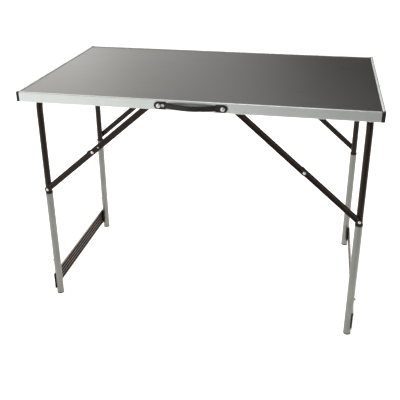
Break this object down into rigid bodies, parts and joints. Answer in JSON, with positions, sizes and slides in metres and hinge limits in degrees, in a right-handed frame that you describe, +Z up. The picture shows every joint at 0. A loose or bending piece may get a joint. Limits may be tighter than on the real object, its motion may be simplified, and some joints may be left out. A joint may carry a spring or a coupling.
{
  "type": "folding table",
  "caption": "Rectangular folding table with an aluminium-edged top, swing-in telescopic leg frames, jointed braces and a carry handle on one long side.",
  "frame": {"origin": "on the floor, below the middle of the whole object's box, handle included", "axes": "+X along the table's length towards the wide leg frame, -Y towards the carry handle, +Z up"},
  "size_m": [1, 0.62, 0.71],
  "materials": {
    "laminate": "dark grey satin laminate",
    "hardboard": "bare brown hardboard",
    "aluminium": "satin anodised extrusion",
    "black_plastic": "moulded, lightly textured",
    "handle_plastic": "moulded brown-black plastic",
    "frame_paint": "dark brown powder coat",
    "silver_tube": "satin grey metallic",
    "zinc": "bright zinc",
    "brass": "bright passivated"
  },
  "bodies": {
    "table": {"top_laminate": "laminate", "top_panel": "hardboard", "rail_front": "aluminium", "rail_right": "aluminium", "rail_rear": "aluminium", "rail_left": "aluminium", "cap_rear_right": "black_plastic", "cap_rear_left": "black_plastic", "cap_front_left": "black_plastic", "cap_front_right": "black_plastic", "carry_handle": "handle_plastic", "handle_screw_left": "zinc", "handle_screw_right": "zinc", "hinge_bracket_left_front": "frame_paint", "brace_bracket_left_front": "frame_paint", "hinge_bracket_left_rear": "frame_paint", "brace_bracket_left_rear": "frame_paint", "hinge_bracket_right_front": "frame_paint", "brace_bracket_right_front": "frame_paint", "hinge_bracket_right_rear": "frame_paint", "brace_bracket_right_rear": "frame_paint"},
    "left_leg": {"leg_frame_left": "frame_paint", "leg_rivet_left_front": "zinc", "leg_rivet_left_rear": "zinc"},
    "left_lower": {"crossbar_left": "frame_paint", "lower_leg_left_front": "silver_tube", "collar_left_front": "black_plastic", "foot_left_front": "black_plastic", "lower_leg_left_rear": "silver_tube", "collar_left_rear": "black_plastic", "foot_left_rear": "black_plastic"},
    "left_front_button": {"height_button_left_front": "brass"},
    "left_front_brace_lower": {"brace_lower_left_front": "frame_paint"},
    "left_front_brace_upper": {"brace_upper_left_front": "frame_paint", "middle_rivet_left_front": "zinc"},
    "left_rear_button": {"height_button_left_rear": "brass"},
    "left_rear_brace_lower": {"brace_lower_left_rear": "frame_paint"},
    "left_rear_brace_upper": {"brace_upper_left_rear": "frame_paint", "middle_rivet_left_rear": "zinc"},
    "right_leg": {"leg_frame_right": "frame_paint", "leg_rivet_right_front": "zinc", "leg_rivet_right_rear": "zinc"},
    "right_lower": {"crossbar_right": "frame_paint", "lower_leg_right_front": "silver_tube", "collar_right_front": "black_plastic", "foot_right_front": "black_plastic", "lower_leg_right_rear": "silver_tube", "collar_right_rear": "black_plastic", "foot_right_rear": "black_plastic"},
    "right_front_button": {"height_button_right_front": "brass"},
    "right_front_brace_lower": {"brace_lower_right_front": "frame_paint"},
    "right_front_brace_upper": {"brace_upper_right_front": "frame_paint", "middle_rivet_right_front": "zinc"},
    "right_rear_button": {"height_button_right_rear": "brass"},
    "right_rear_brace_lower": {"brace_lower_right_rear": "frame_paint"},
    "right_rear_brace_upper": {"brace_upper_right_rear": "frame_paint", "middle_rivet_right_rear": "zinc"}
  },
  "joints": [
    {"name": "left_leg_fold", "type": "hinge", "parent": "table", "child": "left_leg", "pos_m": [-0.467, 0.01, 0.689], "axis": [0, -1, 0], "range_deg": [0, 90]},
    {"name": "left_height", "type": "slide", "parent": "left_leg", "child": "left_lower", "axis": [0, 0, -1], "range_m": [0, 0.21]},
    {"name": "left_front_upper_brace_fold", "type": "hinge", "parent": "table", "child": "left_front_brace_upper", "pos_m": [-0.115, -0.2353, 0.689], "axis": [0, 1, 0], "range_deg": [0, 40.91]},
    {"name": "left_front_lower_brace_fold", "type": "hinge", "parent": "left_leg", "child": "left_front_brace_lower", "pos_m": [-0.467, -0.2311, 0.384], "axis": [0, -1, 0], "range_deg": [0, 49.09]},
    {"name": "left_front_button_press", "type": "slide", "parent": "left_leg", "child": "left_front_button", "axis": [1, 0, 0], "range_m": [0, 0.004], "stiffness_N_per_m": 600},
    {"name": "left_rear_upper_brace_fold", "type": "hinge", "parent": "table", "child": "left_rear_brace_upper", "pos_m": [-0.115, 0.2553, 0.689], "axis": [0, 1, 0], "range_deg": [0, 40.91]},
    {"name": "left_rear_lower_brace_fold", "type": "hinge", "parent": "left_leg", "child": "left_rear_brace_lower", "pos_m": [-0.467, 0.2511, 0.384], "axis": [0, -1, 0], "range_deg": [0, 49.09]},
    {"name": "left_rear_button_press", "type": "slide", "parent": "left_leg", "child": "left_rear_button", "axis": [1, 0, 0], "range_m": [0, 0.004], "stiffness_N_per_m": 600},
    {"name": "right_leg_fold", "type": "hinge", "parent": "table", "child": "right_leg", "pos_m": [0.467, 0.01, 0.689], "axis": [0, 1, 0], "range_deg": [0, 90]},
    {"name": "right_height", "type": "slide", "parent": "right_leg", "child": "right_lower", "axis": [0, 0, -1], "range_m": [0, 0.21]},
    {"name": "right_front_upper_brace_fold", "type": "hinge", "parent": "table", "child": "right_front_brace_upper", "pos_m": [0.115, -0.2703, 0.689], "axis": [0, -1, 0], "range_deg": [0, 40.91]},
    {"name": "right_front_lower_brace_fold", "type": "hinge", "parent": "right_leg", "child": "right_front_brace_lower", "pos_m": [0.467, -0.2661, 0.384], "axis": [0, 1, 0], "range_deg": [0, 49.09]},
    {"name": "right_front_button_press", "type": "slide", "parent": "right_leg", "child": "right_front_button", "axis": [-1, 0, 0], "range_m": [0, 0.004], "stiffness_N_per_m": 600},
    {"name": "right_rear_upper_brace_fold", "type": "hinge", "parent": "table", "child": "right_rear_brace_upper", "pos_m": [0.115, 0.2903, 0.689], "axis": [0, -1, 0], "range_deg": [0, 40.91]},
    {"name": "right_rear_lower_brace_fold", "type": "hinge", "parent": "right_leg", "child": "right_rear_brace_lower", "pos_m": [0.467, 0.2861, 0.384], "axis": [0, 1, 0], "range_deg": [0, 49.09]},
    {"name": "right_rear_button_press", "type": "slide", "parent": "right_leg", "child": "right_rear_button", "axis": [-1, 0, 0], "range_m": [0, 0.004], "stiffness_N_per_m": 600}
  ],
  "couplings": [
    {"joint": "left_front_upper_brace_fold", "follows": "left_leg_fold", "ratio": 0.45454},
    {"joint": "left_front_lower_brace_fold", "follows": "left_leg_fold", "ratio": 0.54546},
    {"joint": "left_rear_upper_brace_fold", "follows": "left_leg_fold", "ratio": 0.45454},
    {"joint": "left_rear_lower_brace_fold", "follows": "left_leg_fold", "ratio": 0.54546},
    {"joint": "right_front_upper_brace_fold", "follows": "right_leg_fold", "ratio": 0.45454},
    {"joint": "right_front_lower_brace_fold", "follows": "right_leg_fold", "ratio": 0.54546},
    {"joint": "right_rear_upper_brace_fold", "follows": "right_leg_fold", "ratio": 0.45454},
    {"joint": "right_rear_lower_brace_fold", "follows": "right_leg_fold", "ratio": 0.54546}
  ]
}
